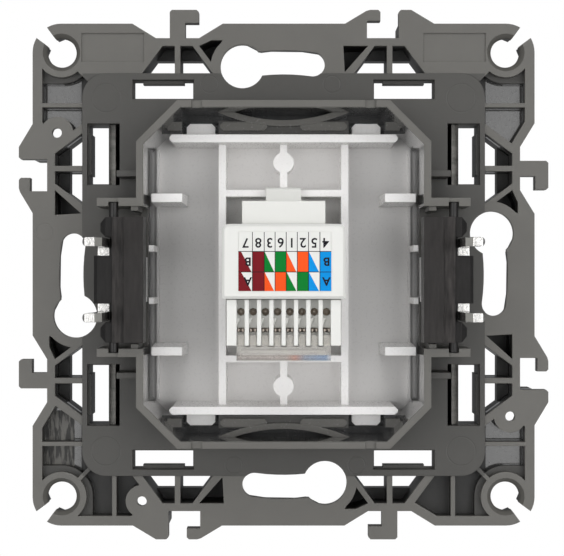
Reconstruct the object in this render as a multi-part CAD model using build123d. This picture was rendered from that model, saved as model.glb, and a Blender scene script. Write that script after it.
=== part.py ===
from build123d import *
import os
from math import cos, radians, sin, sqrt

# Data socket for a flush wall box, seen from its wall side.
# Every piece is drawn lying down: x to the right, y up, z out of the wall side into the box,
# with z = 0 on the face that meets the wall and the origin at the middle of the support frame.
# upright() then turns it so that up is +Z and the wall side faces -Y.

os.makedirs("parts", exist_ok=True)

# Driving dimensions in millimetres

# Support frame: outline and the hooks that join frames in a row
frame_pitch = 71.0         # neighbouring frames are this far apart
frame_depth = 7.5          # wall face to front face
rim_wall = 1.35            # outer wall of the pockets
hook_offset = 15.0         # hooks and hook pockets stand this far from the middle of a side
hook_reach = 1.95          # a hook stands this far proud of the side
hook_stem = 2.2
hook_head = 1.9            # the head reaches this far past the stem
hook_head_thick = 1.85
hook_side_gap = 0.2
hook_floor_gap = 0.1
hook_tooth_gap = 0.5
notch_half = 3.05          # flat bottom of the notch round a hook
notch_run = 3.35           # length of its slopes
bump_half = 3.05           # flat top of the bump round a hook pocket
bump_run = 3.25
hook_edge = 0.3
hook_depth = 2.2           # thickness of the hooks and bumps

# Corner clips
clip_offset = 31.43        # middle of a clip from the middle of the frame, both ways
clip_bore = 2.05           # radius
clip_sink = 2.67           # radius of the funnel at the wall face
clip_sink_depth = 0.9
clip_skin = 1.7            # wall face to the eight-sided room in front
clip_relief = 3.0          # from its middle to its corners
clip_ring = 3.54           # outer radius of the ring
clip_step = 4.3            # radius of the lower step round the ring
clip_mouth_in = 1.5        # width of the open mouth at the bore
clip_mouth_out = 2.5       # and at the outside

# Keyholes for the box screws, 60 mm apart
screw_circle = 30.0        # radius on which the slots run
keyhole_angle = 11.2       # the wide end lies this far round from the middle of a side
keyhole_radius = 3.1
slot_angle = 7.9           # the slot's far end
slot_width = 3.42
rear_skin = 1.0            # wall left behind a pocket that opens to the front
keyhole_relief = 0.85      # the pocket in front is this much wider than the keyhole

# Plateau round the collar
plateau_margin = 7.05      # from the outer edge of the frame
plateau_corner = 3.4
plateau_rise = 0.3

# Pockets
pocket_floor = 2.8         # depth of the corner pockets
blind_depth = 6.5          # depth of the blind triangles and of the rack's well
clip_step_depth = 1.2
cross_rib_at = 23.95
cross_rib = 0.6
corner_rib = 0.55
end_rib = 1.1              # between a corner pocket and a trapezoid
blind_rib = 0.75           # between a trapezoid and a blind triangle
blind_run = 2.35           # length of a blind triangle across the side
boss_radius = 2.3
boss_along = 20.05         # boss with the small hole, along and across a side
boss_across = 32.05
boss_bore = 0.68           # radius
boss_relief = 1.8          # middle to corners of the eight-sided room in front
panel_from = 19.75         # bare recessed panels at the top corners
panel_to = 28.6
panel_low = 30.1
panel_high = 34.15
panel_depth = 0.25

# Trapezoid openings behind each hook
gate_margin = 3.15         # from the outer edge of the frame to the narrow end
gate_outer_half = 2.12
gate_inner_half = 5.0
gate_skin = 1.55           # the front skin reaches in this far past the narrow end
gate_rib = 0.78
skin_depth = 4.8           # wall face to the inside of the front skin

# Windows for the cover frame's clips
window_offset = 17.0       # middle of a window from the middle of the side
window_half = 4.17
window_near = 24.95
window_far = 27.35
side_window_near = 24.8
side_window_far = 27.55    # side windows are deeper and open further in, to a thin spring wall
window_depth = 2.6         # skin with the window's edge; the pocket in front of it is wider
window_mouth = 0.18        # the mouth is this much wider on each edge
window_mouth_depth = 0.8
window_relief = 0.55
window_tooth_half = 2.92
window_tooth = 0.4
side_window_depth = 5.5
side_window_tooth = 0.3
rack_near = 23.15
rack_wall = 0.72
rack_sink = 1.6

# Collar round the module
collar_x = 20.1            # outer half width
collar_y = 23.75           # outer half height
collar_wall = 1.0
collar_chamfer = 5.6
collar_rise = 9.0
rim_notch_at = 11.85       # two small notches at each end of the top and bottom walls
rim_notch_half = 0.75
rim_notch_depth = 0.5
web_at = 13.95             # small webs outside the side walls
web_thick = 0.85
web_reach = 2.95
web_rise = 6.0

# Top and bottom of the opening: ledge, lugs and spring bow
ledge_in = 19.75           # half height of the opening
ledge_out = 21.6
ledge_rise = 1.6
lug_at = 5.6
lug_half = 3.25
lug_thick = 1.2
lug_edge = 0.4
lug_rise = 0.7
end_lug_at = 15.3
bow_radius = 22.3
bow_lap = 0.4              # the bow's crown reaches this far in over the ledge
bow_middle = ledge_out - bow_lap + bow_radius
bow_thick = 0.85
bow_rise = 2.4
ledge_pocket = 3.0         # depth of the pockets over and under the opening
bow_gap = 0.4              # between a bow and the pocket's floor

# Claw units: a lever on two stubs, pushed out by a screw from the front
claw_middle = -0.4         # height of the pivot ears' middle
ear_gap_half = 9.7
ear_thick = 1.15
ear_inner = 22.6           # the high part of an ear reaches out to here
ear_outer = 25.5
ear_cover = 0.3            # the low part stands this far above the pivot line
ear_nub_in = 19.85         # stops on the inner sides of the ears
ear_nub_out = 20.85
ear_nub_reach = 0.6
ear_nub_rise = 8.5
claw_sill = 1.0            # the collar wall is open above this height between the ears
pivot_x = 23.2
pivot_z = 8.3
pivot_radius = 0.65
pivot_fit = 0.06
pivot_in_ear = 0.6
pivot_end_gap = 0.1
lever_up = 8.2            # ends of the lever from the ears' middle
lever_down = 8.85
lever_in = 18.95           # inner edge
lever_strip = 2.65         # width of the high strip
lever_strip_2 = 1.65       # width of the strip beside it
lever_rear = 11.0
lever_step = 0.7
lever_front = 6.5
lobe_out = 1.8             # the lobes reach this far past the pivot line
lobe_low = 5.5
lobe_rear = 9.5
lobe_half = 5.75           # the lobes start this far from the claw's middle
lobe_edge = 0.8
nose_out = 2.6
nose_half = 3.25
nose_rear = 9.9
claw_y = -0.7              # middle of the claw plate and of its screw
prong_spread = 4.95
prong_thick = 1.2
prong_tip_x = 26.2
prong_tip_z = 19.6
prong_width = 2.0
prong_round = 0.55
channel_x = 23.75
channel_width = 1.6
channel_z = 7.6
channel_thick = 1.0
channel_fit = 0.05
screw_x = 21.65
screw_radius = 1.25
screw_fit = 0.15
screw_head = 2.2           # radius
screw_head_thick = 1.6
screw_slot = 0.6
screw_tip_gap = 0.2
screw_boss_half = 3.1
screw_boss_rise = 4.4
nut_half = 2.25
nut_thick = 1.8
nut_gap = 0.06
nut_low = 1.4

# Centre plate
cover_half = 22.4          # front face
cover_thick = 2.2
cover_gap = 0.2            # between the frame's front and the cover
cover_round = 0.9
cover_edge = 0.5
plate_gap = 0.16           # between the plate's walls and the ledge
wall_thick = 1.13
wall_half = 15.97
wall_edge = 0.4
wall_top = 3.0
tab_at = 11.65             # snap tabs and their gaps in the ledge
tab_half = 2.03
tab_side_gap = 0.5
tab_reach = 1.69
tab_round = 0.5
tab_top = 0.4
tab_lip = 3.4              # thickness of the ledge's lip that a tab snaps behind
tab_play = 0.1
rim_line_x = 18.3
rim_line = 0.36
rim_line_rise = 1.0
rim_line_short = 1.5       # it ends this far from the outer faces of the walls
long_rib_x = 8.7
long_rib = 1.06
rib_top = -1.0
bar_high = 11.56
bar_low = -11.97
bar_thick = 0.98
centre_rib = 1.06
rib_boss = 1.47            # radius
rib_boss_at = 15.9
guide_at = 10.7
guide_thick = 1.2          # at its free end
guide_from = 14.14
guide_to = 18.45
guide_foot = 0.45          # the foot is wider and longer by this much
guide_top = 3.4
nub_at = 3.7
nub_half = 0.45
nub_reach = 0.7
nub_top = 1.0
well_sink = 0.3            # the floor round the jack lies lower

# Jack
well_gap = 0.12            # between the jack and the opening of the cover
jack_half = 7.35
jack_low = -9.0
jack_high = 6.4
jack_top = 12.0
neck_half = 5.5
neck_high = 9.7
neck_top = 16.0
latch_half = 2.5
latch_round = 0.6
latch_high = 12.3
latch_thick = 1.4
latch_play = 0.15
port_half = 5.9
port_low = -4.0
port_high = 2.8
port_depth = 14.0
key_half = 3.05
key_reach = 1.2
step_half = 2.0
step_reach = 2.2
carrier_half = 6.25
carrier_low = -2.0
carrier_thick = 4.0
carrier_gap = 0.05
cover_side = 0.6           # side walls of the rear cover
cover_top = 1.4
back_low = -3.2
back_high = 6.55
back_top = 20.0
back_skirt = 9.5
back_round = 0.9
back_edge = 0.35
back_gap = 0.1
comb_half = 7.45
comb_low = -9.3
comb_top = 19.0
comb_base = 0.85
slot_pitch = 1.604
slot_gap = 1.04
slot_high = -4.4           # upper edge of the hole in a slot
slot_shallow = 1.7         # depth of a slot
wedge_high = -5.7
wedge_low = -6.9
wedge_width = 0.45
wedge_rise = 0.7
hole_radius = 0.52         # middle to corners of the eight-sided hole in a slot
label_half = 6.02
label_x = 0.14
label_low = -2.15
label_high = 5.55
label_thick = 0.1
cap_half = 6.15
cap_top = 18.8
cap_low = -11.25
cap_gap = 0.15
cap_floor = 8.6
cap_wall = 0.5
finger_reach = 1.5
finger_fit = 0.1
finger_lift = 0.3
board_half = 6.9
board_low = -8.8
board_high = 5.9
board_thick = 1.0
board_gap = 0.05
wire_count = 8
spring_pitch = 1.02
spring_wire = 0.36
spring_y = 1.9
spring_front = -3.8
spring_end_y = -1.3
spring_end_z = 1.6
blade_y = -7.3
blade_thick = 0.4
blade_half = 0.42
blade_top = 18.4
blade_fork = 2.2
blade_fork_gap = 0.3
hole_gap = 0.08

# Sizes worked out from the driving dimensions
half = frame_pitch / 2
front = -frame_depth
plateau_half = half - plateau_margin
gate_outer = half - gate_margin
gate_edge = gate_outer - gate_skin
hook_top = half + hook_reach
notch_v = frame_pitch - hook_top - hook_floor_gap
tooth_v = frame_pitch - hook_top + hook_head_thick + hook_tooth_gap
inner_v = half - rim_wall
open_x = collar_x - collar_wall
open_y = collar_y - collar_wall


def upright(shape):
    """Turn a lying piece so that up is +Z and the wall side faces -Y."""
    return Rot(90, 0, 0) * shape


def box(x0, x1, y0, y1, z0, z1):
    """Box between two corners."""
    return Pos((x0 + x1) / 2, (y0 + y1) / 2, (z0 + z1) / 2) * Box(x1 - x0, y1 - y0, z1 - z0)


def quarter(index):
    """Turn about the middle that carries the top side to side number index, clockwise."""
    return Rot(0, 0, -90 * index)


def prism(face, low, high):
    """Straight block over a flat face, from height low to height high."""
    return extrude(Pos(0, 0, low) * face, amount=high - low, dir=(0, 0, 1))


def mirrored(points):
    """The same outline on the other end of the side."""
    return [(-u, v) for u, v in points]


def polygon(points):
    return Polygon(*points, align=None)


def chamfered_rect(half_x, half_y, leg):
    """Rectangle with its four corners cut off by equal legs."""
    corners = [(half_x, half_y - leg), (half_x - leg, half_y)]
    upper = corners + [(-x, y) for x, y in reversed(corners)]
    return polygon(upper + [(-x, -y) for x, y in upper])


def side_outline():
    """Upper edge of the frame from left to right: notch with its hook, then bump with its pocket."""
    hook, pocket = -hook_offset, hook_offset
    stem_left, stem_right = hook - hook_stem / 2, hook + hook_stem / 2
    pocket_left = pocket - hook_stem / 2 - hook_head - hook_side_gap
    pocket_right = pocket + hook_stem / 2 + hook_side_gap
    tooth_end = pocket - hook_stem / 2 - hook_side_gap
    return [
        (hook - notch_half - notch_run, half),
        (hook - notch_half, notch_v),
        (stem_left, notch_v),
        (stem_left, hook_top),
        (stem_right + hook_head, hook_top),
        (stem_right + hook_head, hook_top - hook_head_thick),
        (stem_right, hook_top - hook_head_thick),
        (stem_right, notch_v),
        (hook + notch_half, notch_v),
        (hook + notch_half + notch_run, half),
        (pocket - bump_half - bump_run, half),
        (pocket - bump_half, hook_top),
        (tooth_end, hook_top),
        (tooth_end, tooth_v),
        (pocket_left, tooth_v),
        (pocket_left, notch_v),
        (pocket_right, notch_v),
        (pocket_right, hook_top),
        (pocket + bump_half, hook_top),
        (pocket + bump_half + bump_run, half),
    ]


def frame_outline():
    """Whole outline of the frame with round corners concentric with the clips."""
    points = []
    for index in range(4):
        for u, v in side_outline() + [(half, half)]:
            for _ in range(index):
                u, v = v, -u
            points.append((u, v))
    face = polygon(points)
    corners = [p for p in face.vertices() if abs(abs(p.X) - half) < 0.01 and abs(abs(p.Y) - half) < 0.01]
    face = fillet(corners, half - clip_offset)
    heads = []
    for p in face.vertices():
        along = min(abs(p.X), abs(p.Y))
        if max(abs(p.X), abs(p.Y)) > hook_top - 0.01 and along < hook_offset + hook_stem:
            heads.append(p)
    return chamfer(heads, hook_edge)


def keyhole():
    """Wide round end and curved slot for a box screw, at the top side."""
    turn = radians(keyhole_angle)
    wide = Pos(-screw_circle * sin(turn), screw_circle * cos(turn)) * Circle(keyhole_radius)
    arc = CenterArc((0, 0), screw_circle, 90 - slot_angle, slot_angle + keyhole_angle)
    return wide + SlotArc(arc, slot_width)


def keyhole_room():
    """Straight-sided pocket in front of a keyhole, wider than it on every side."""
    turn = radians(keyhole_angle)
    wide = Pos(-screw_circle * sin(turn), screw_circle * cos(turn))
    reach = slot_width / 2 + keyhole_relief
    run = turn + radians(slot_angle) + reach / screw_circle
    turns = [turn - run * step / 3 for step in range(4)]
    near = [(-(screw_circle - reach) * sin(t), (screw_circle - reach) * cos(t)) for t in turns]
    far = [(-(screw_circle + reach) * sin(t), (screw_circle + reach) * cos(t)) for t in reversed(turns)]
    return wide * RegularPolygon(keyhole_radius + keyhole_relief, 8) + polygon(near + far)


def gate(low, high):
    """Half-open trapezoid behind a hook, split by its rib, between two distances from the middle."""
    lean = (gate_inner_half - gate_outer_half) / (gate_outer - plateau_half)
    wide = gate_outer_half + (gate_outer - low) * lean
    narrow = gate_outer_half + (gate_outer - high) * lean
    face = polygon([(-wide, low), (wide, low), (narrow, high), (-narrow, high)])
    return face - Pos(0, (low + high) / 2) * Rectangle(gate_rib, high - low + 1)


def corner_cell(hook_end):
    """Pocket outline at the end of a side, on the end with the hook or the one with the hook pocket."""
    lean = (gate_inner_half - gate_outer_half) / (gate_outer - plateau_half)
    root = hook_offset + gate_inner_half + end_rib * sqrt(1 + lean ** 2)
    low = plateau_half - plateau_corner - 0.5
    corner = [(low, low), (clip_offset, clip_offset), (clip_offset, inner_v)]
    if hook_end:
        slope_u = hook_offset + notch_half + notch_run
        top_u = slope_u - notch_run * 0.85
        top_v = plateau_half + (root - top_u) / lean
        cell = corner + [(slope_u + 0.3, inner_v), (top_u, min(top_v, inner_v - 1.9)), (root, plateau_half), (root, low)]
        return polygon(mirrored(cell))
    top_v = plateau_half + 2.6
    cell = corner + [(boss_along + 1.45, inner_v), (root - (top_v - plateau_half) * lean, top_v),
                     (root, plateau_half), (root, low)]
    return polygon(cell) - Pos(boss_along, boss_across) * Circle(boss_radius)


def corner_pocket(hook_end):
    """Floor and clip step of one corner pocket, as cutters."""
    sign = -1 if hook_end else 1
    clip = Pos(sign * clip_offset, clip_offset)
    rib = Pos(sign * cross_rib_at, inner_v) * Rectangle(cross_rib, frame_depth * 2)
    diagonal = Rot(0, 0, sign * 45) * Rectangle(4 * half, corner_rib)
    face = corner_cell(hook_end) - clip * Circle(clip_ring) - rib - diagonal
    flat = Pos(sign * (clip_offset - clip_step / 2), clip_offset + 2) * Rectangle(clip_step, 4)
    step = clip * Circle(clip_step) + flat
    cutters = []
    for piece in (face & step).faces():
        cutters.append(prism(piece, -clip_step_depth, 1))
    for piece in (face - step).faces():
        cutters.append(prism(piece, -pocket_floor, 1))
    return cutters


def blind_triangles():
    """Dark three-sided pockets between the trapezoids and the keyhole."""
    lean = (gate_inner_half - gate_outer_half) / (gate_outer - plateau_half)
    start = hook_offset - gate_outer_half - blind_rib * sqrt(1 + lean ** 2)
    turn = radians(keyhole_angle)
    wide = Pos(-screw_circle * sin(turn), screw_circle * cos(turn)) * Circle(keyhole_radius + 1.4)
    low = gate_outer - blind_run
    near = [(-start, gate_outer), (-start + 1.75, inner_v - 1.0), (-start + 3.3, inner_v - 1.0),
            (-start + blind_run * lean, low)]
    far = [(start, gate_outer), (start - 3.5, gate_outer), (start - 3.3, plateau_half + 0.2)]
    return [polygon(near) - wide, polygon(far)]


def window(side):
    """Through window for a clip of the cover frame, with its mouth, tooth and, at the sides, spring wall."""
    near = side_window_near if side else window_near
    far = side_window_far if side else window_far
    depth = side_window_depth if side else window_depth
    proud = side_window_tooth if side else window_tooth
    middle = Pos(0, (near + far) / 2)
    height = far - near
    hole = middle * Rectangle(2 * window_half, height)
    tooth = Pos(0, far - proud / 2) * Rectangle(2 * window_tooth_half, proud)
    mouth = middle * Rectangle(2 * (window_half + window_mouth), height + 2 * window_mouth)
    relief = middle * Rectangle(2 * (window_half + window_relief), height + 2 * window_relief)
    cutters = [prism(hole - tooth, front - 1, 1), prism(mouth, -window_mouth_depth, 1),
               prism(relief, front - 1, -depth)]
    if side:
        wall_far = near - window_mouth
        wide = 2 * (window_half + window_mouth)
        well = Pos(0, (rack_near + wall_far - rack_wall) / 2) * Rectangle(wide, wall_far - rack_wall - rack_near)
        cutters.append(prism(well, -blind_depth, 1))
        cutters.append(prism(Pos(0, wall_far - rack_wall / 2) * Rectangle(wide, rack_wall + 0.1), -rack_sink, 1))
    return cutters


def clip_cutters():
    """Funnel, bore, room in front and open mouth of the corner clip between the top and right sides."""
    clip = Pos(clip_offset, clip_offset)
    slope = (clip_sink - clip_bore) / clip_sink_depth
    funnel = Pos(clip_offset, clip_offset, (1 - clip_sink_depth) / 2)
    funnel *= Cone(clip_bore, clip_sink + slope, 1 + clip_sink_depth)
    reach = (half - clip_offset) * 1.3
    mouth = polygon([(clip_bore * 0.6, -clip_mouth_in / 2), (clip_bore, -clip_mouth_in / 2),
                     (reach, -clip_mouth_out / 2), (reach, clip_mouth_out / 2),
                     (clip_bore, clip_mouth_in / 2), (clip_bore * 0.6, clip_mouth_in / 2)])
    return [prism(clip * Circle(clip_bore), front - 1, 1), prism(clip * RegularPolygon(clip_relief, 8), front - 1, -clip_skin),
            funnel, prism(clip * Rot(0, 0, 45) * mouth, front - 1, 1)]


def side_cutters(side):
    """Cutters of the top side: thin hooks, keyhole, gates, windows and blind triangles."""
    slopes = bump_half + bump_run + 0.5
    cutters = [box(hook_offset - slopes, hook_offset + slopes, half, hook_top + 1, front - 1, -hook_depth),
               box(-hook_offset - notch_half, -hook_offset + notch_half, notch_v, hook_top + 1, front - 1, -hook_depth),
               prism(keyhole(), front - 1, 1), prism(keyhole_room(), front - 1, -rear_skin)]
    for end in (-1, 1):
        middle = Pos(end * hook_offset, 0)
        for piece in gate(plateau_half, gate_outer).faces():
            cutters.append(prism(middle * piece, -skin_depth, 1))
        for piece in gate(plateau_half, gate_edge).faces():
            cutters.append(prism(middle * piece, front - 1, 1))
        cutters += [Pos(end * window_offset, 0, 0) * cutter for cutter in window(side)]
    return cutters + [prism(triangle, -blind_depth, 1) for triangle in blind_triangles()]


def frame_cuts():
    """Corner pockets, which the plateau then fills again in part, and everything cut after it."""
    pockets, cuts = [], []
    for index in range(4):
        turn = quarter(index)
        cuts += [turn * cutter for cutter in clip_cutters() + side_cutters(index in (1, 3))]
        for end in (-1, 1):
            if index:
                pockets += [turn * cutter for cutter in corner_pocket(end < 0)]
            else:
                panel = Pos(end * (panel_from + panel_to) / 2, (panel_low + panel_high) / 2)
                panel *= Rectangle(panel_to - panel_from, panel_high - panel_low)
                cuts.append(prism(panel, -panel_depth, 1))
        if index:
            boss = Pos(boss_along, boss_across)
            cuts.append(turn * prism(boss * Circle(boss_bore), front - 1, 1))
            cuts.append(turn * prism(boss * RegularPolygon(boss_relief, 8), front - 1, -rear_skin))
    return pockets, cuts


def collar_faces():
    """Outer and inner outline of the collar."""
    leg = collar_chamfer - collar_wall * (2 - sqrt(2))
    return chamfered_rect(collar_x, collar_y, collar_chamfer), chamfered_rect(open_x, open_y, leg)


def both(shape):
    """The shape and its mirror image on the other side of the vertical middle line."""
    return [shape, mirror(shape, about=Plane.YZ)]


def ends(shape):
    """The shape and its mirror image on the other side of the level middle line."""
    return [shape, mirror(shape, about=Plane.XZ)]


def frame_additions():
    """Walls that stand on the flat of the frame."""
    outer, inner = collar_faces()
    plateau = RectangleRounded(2 * plateau_half, 2 * plateau_half, plateau_corner)
    parts = [prism(plateau, front, plateau_rise), prism(outer, -1, collar_rise)]
    for y in (web_at, -web_at):
        parts += both(box(collar_x - collar_wall / 2, collar_x + web_reach, y - web_thick / 2,
                          y + web_thick / 2, -1, web_rise))
    for y in (claw_middle + ear_gap_half + ear_thick / 2, claw_middle - ear_gap_half - ear_thick / 2):
        parts += both(box(open_x, ear_inner, y - ear_thick / 2, y + ear_thick / 2, -1, collar_rise))
        parts += both(box(open_x, ear_outer, y - ear_thick / 2, y + ear_thick / 2, -1, pivot_z + ear_cover))
    boss = box(open_x + carrier_gap, screw_x + nut_half + cross_rib, claw_y - screw_boss_half,
               claw_y + screw_boss_half, -1, screw_boss_rise)
    return parts + both(boss)


def frame_openings():
    """The opening for the module, the blind pockets over and under it and the cuts in the collar."""
    outer, inner = collar_faces()
    middle = inner & Rectangle(4 * half, 2 * ledge_in)
    inside = inner & Rectangle(4 * half, 2 * ledge_out)
    cuts = [prism(middle, front - 1, collar_rise + 1), prism(inside, ledge_rise, collar_rise + 1)]
    for piece in (inner - Rectangle(4 * half, 2 * ledge_out)).faces():
        cuts.append(prism(piece, -ledge_pocket, collar_rise + 1))
    gap_half = tab_half + tab_side_gap
    for x in (-tab_at, tab_at):
        cuts += ends(box(x - gap_half, x + gap_half, ledge_in - 1, ledge_out, front + tab_lip, collar_rise + 1))
    low, high = claw_middle - ear_gap_half, claw_middle + ear_gap_half
    cuts += both(box(open_x - 1, collar_x + 0.5, low, high, screw_boss_rise, collar_rise + 1))
    cuts += both(box(open_x - 1, collar_x + 0.5, low, claw_y - screw_boss_half, claw_sill, collar_rise + 1))
    cuts += both(box(open_x - 1, collar_x + 0.5, claw_y + screw_boss_half, high, claw_sill, collar_rise + 1))
    for x in (-rim_notch_at, rim_notch_at):
        cuts += ends(box(x - rim_notch_half, x + rim_notch_half, open_y - 1, collar_y + 1,
                         collar_rise - rim_notch_depth, collar_rise + 1))
    bearing = pivot_radius + pivot_fit
    reach = ear_gap_half + pivot_in_ear
    slot = box(pivot_x - bearing, pivot_x + bearing, claw_middle - reach, claw_middle + reach,
               pivot_z, collar_rise + 1)
    seat = Pos(pivot_x, claw_middle, pivot_z) * Rot(90, 0, 0) * Cylinder(bearing, 2 * reach)
    cuts += both(slot) + both(seat)
    hole = Pos(screw_x, claw_y, 0) * Cylinder(screw_radius + screw_fit, 4 * frame_depth)
    head = Pos(screw_x, claw_y, front) * Cylinder(screw_head + screw_fit, 2 * screw_head_thick)
    nut = nut_half + nut_gap
    nut_room = box(screw_x - nut, screw_x + nut + 2, claw_y - nut, claw_y + nut,
                   nut_low - nut_gap, nut_low + nut_thick + nut_gap)
    return cuts + both(hole) + both(head) + both(nut_room)


def ledge_parts():
    """Lugs and spring bow above and below the module, and the stops of the ears."""
    outer, inner = collar_faces()
    parts = []
    lug_y = (ledge_in + ledge_out) / 2 + 0.1
    for x in (-lug_at, lug_at):
        lug = Pos(x, lug_y) * chamfered_rect(lug_half, lug_thick / 2, lug_edge)
        parts.append(prism(lug, 0, ledge_rise + lug_rise))
    for x in (-end_lug_at, end_lug_at):
        lug = Pos(x, lug_y) * Rectangle(2, lug_thick)
        parts.append(prism(lug & inner, 0, ledge_rise + lug_rise))
    ring = Circle(bow_radius + bow_thick / 2) - Circle(bow_radius - bow_thick / 2)
    low, high = ledge_out - 2 * bow_thick, open_y + collar_wall / 4
    bow = Pos(0, bow_middle) * ring & Pos(0, (low + high) / 2) * Rectangle(4 * half, high - low)
    parts.append(prism(bow, bow_gap - ledge_pocket, bow_rise))
    turned = []
    for part in parts:
        turned += ends(part)
    for end in (-1, 1):
        face, stop = ear_gap_half + 0.1, ear_gap_half - ear_nub_reach
        low, high = sorted((claw_middle + end * face, claw_middle + end * stop))
        turned += both(box(ear_nub_in, ear_nub_out, low, high, -1, ear_nub_rise))
    return turned


def support_frame():
    pockets, cuts = frame_cuts()
    body = prism(frame_outline(), front, 0).cut(*pockets)
    body = body.fuse(*frame_additions())
    body = body.cut(*cuts)
    body = body.cut(*frame_openings())
    return body.fuse(*ledge_parts())


cover_rear = front - cover_gap
cover_front = cover_rear - cover_thick
block_y = ledge_in - plate_gap


def jack_outline(gap):
    """Outline of the jack where it passes through the cover, grown by a gap."""
    body = Pos(0, (jack_low + jack_high) / 2) * Rectangle(2 * (jack_half + gap), jack_high - jack_low + 2 * gap)
    neck = Pos(0, (jack_high + neck_high) / 2) * Rectangle(2 * (neck_half + gap), neck_high - jack_high + 2 * gap)
    return body + neck


def centre_plate():
    """White cover with its ribs, walls, guides and snap tabs."""
    cover = prism(Rectangle(2 * cover_half, 2 * cover_half), cover_front, cover_rear)
    cover = fillet(cover.edges().filter_by(Axis.Z), cover_round)
    cover = chamfer(cover.faces().sort_by(Axis.Z)[0].edges(), cover_edge)
    inner = long_rib_x - long_rib / 2
    floor = cover_rear - 0.5
    adds = []
    for x in (-long_rib_x, long_rib_x):
        adds.append(box(x - long_rib / 2, x + long_rib / 2, -block_y, block_y, floor, rib_top))
    for y in (bar_high, bar_low):
        adds.append(box(-long_rib_x, long_rib_x, y - bar_thick / 2, y + bar_thick / 2, floor, rib_top))
    for low, high in ((bar_high, block_y), (-block_y, bar_low)):
        adds.append(box(-centre_rib / 2, centre_rib / 2, low, high, floor, rib_top))
    for y in (-rib_boss_at, rib_boss_at):
        adds.append(Pos(0, y, (floor + rib_top) / 2) * Cylinder(rib_boss, rib_top - floor))
    wall = box(-wall_half, wall_half, block_y - wall_thick, block_y, floor, wall_top)
    wall = chamfer(wall.edges().filter_by(Axis.Z), wall_edge)
    adds += ends(wall)
    lip = front + tab_lip + tab_play
    for x in (-tab_at, tab_at):
        tab = box(x - tab_half, x + tab_half, block_y - wall_thick / 2, block_y + tab_reach, lip, tab_top)
        tab = chamfer(tab.edges().filter_by(Axis.Z).group_by(Axis.Y)[-1], tab_round)
        adds += ends(tab)
    for y in (-guide_at, guide_at):
        middle = (guide_from + guide_to) / 2
        tip = Pos(middle, y, guide_top) * Rectangle(guide_to - guide_from, guide_thick)
        foot = Pos(middle, y, floor) * Rectangle(guide_to - guide_from + guide_foot, guide_thick + guide_foot)
        adds += both(loft([foot, tip]))
    line_end = block_y - rim_line_short
    adds += both(box(rim_line_x - rim_line / 2, rim_line_x + rim_line / 2, -line_end, line_end,
                     floor, cover_rear + rim_line_rise))
    for y in (-nub_at, nub_at):
        adds += both(box(rim_line_x, rim_line_x + nub_reach, y - nub_half, y + nub_half, floor, nub_top))
    body = cover.fuse(*adds)
    well = box(-inner, inner, bar_low + bar_thick / 2, bar_high - bar_thick / 2, cover_rear - well_sink, 0)
    return body.cut(well, prism(jack_outline(well_gap), cover_front - 1, cover_rear + 1)).clean()


port_back = cover_front + port_depth
board_low_z = jack_top + board_gap
board_top_z = board_low_z + board_thick
comb_low_z = board_top_z + board_gap
slot_floor = comb_top - slot_shallow
wires = [(i - (wire_count - 1) / 2) for i in range(wire_count)]


def jack_housing():
    """Body of the jack with the port, the room for the contacts, the neck and the latch."""
    body = box(-jack_half, jack_half, jack_low, jack_high, cover_front, jack_top)
    neck = box(-neck_half, neck_half, jack_high - 1, neck_high, cover_front, jack_top)
    tower = box(-neck_half, neck_half, back_high + back_gap, neck_high, jack_top - 1, neck_top)
    latch_low = rib_top + latch_play
    latch = box(-latch_half, latch_half, neck_high - 1, latch_high, latch_low, latch_low + latch_thick)
    latch = fillet(latch.edges().filter_by(Axis.X).group_by(Axis.Y)[-1], latch_round)
    body = body.fuse(neck, tower, latch)
    port = box(-port_half, port_half, port_low, port_high, cover_front - 1, port_back)
    key = box(-key_half, key_half, port_low - key_reach, port_low + 1, cover_front - 1, port_back)
    step = box(-step_half, step_half, port_low - step_reach, port_low + 1, cover_front - 1, port_back)
    room = box(-carrier_half - carrier_gap, carrier_half + carrier_gap, carrier_low, port_high,
               port_back, jack_top + 1)
    return body.cut(port, key, step, room).clean()


def contact_comb():
    """Holder of the spring contacts behind the port."""
    block = box(-carrier_half, carrier_half, carrier_low + carrier_gap, port_high - carrier_gap,
                port_back, port_back + carrier_thick)
    hole = spring_wire / 2 + hole_gap
    holes = [box(i * spring_pitch - hole, i * spring_pitch + hole, spring_y - hole, spring_y + hole,
                 port_back - 1, port_back + carrier_thick + 1) for i in wires]
    return block.cut(*holes)


def spring_contact(index):
    """Bent wire from the board, along the roof of the port and back down as a free spring."""
    points = [(board_top_z, spring_y), (spring_front, spring_y), (spring_end_z, spring_end_y)]
    line = Polyline(*points)
    ribbon = extrude(trace(line, spring_wire), amount=spring_wire / 2, both=True)
    x = wires[index] * spring_pitch
    return Pos(x, 0, 0) * Rot(0, -90, 0) * ribbon


def jack_board():
    """Small circuit board with a row of holes for the springs and one for the wire contacts."""
    board = box(-board_half, board_half, board_low, board_high, board_low_z, board_top_z)
    hole = spring_wire / 2 + hole_gap
    holes = []
    for i in wires:
        holes.append(box(i * spring_pitch - hole, i * spring_pitch + hole, spring_y - hole, spring_y + hole,
                         board_low_z - 1, board_top_z + 1))
        x = i * slot_pitch
        holes.append(box(x - blade_half - hole_gap, x + blade_half + hole_gap, blade_y - blade_thick / 2 - hole_gap,
                         blade_y + blade_thick / 2 + hole_gap, board_low_z - 1, board_top_z + 1))
    return board.cut(*holes)


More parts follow.
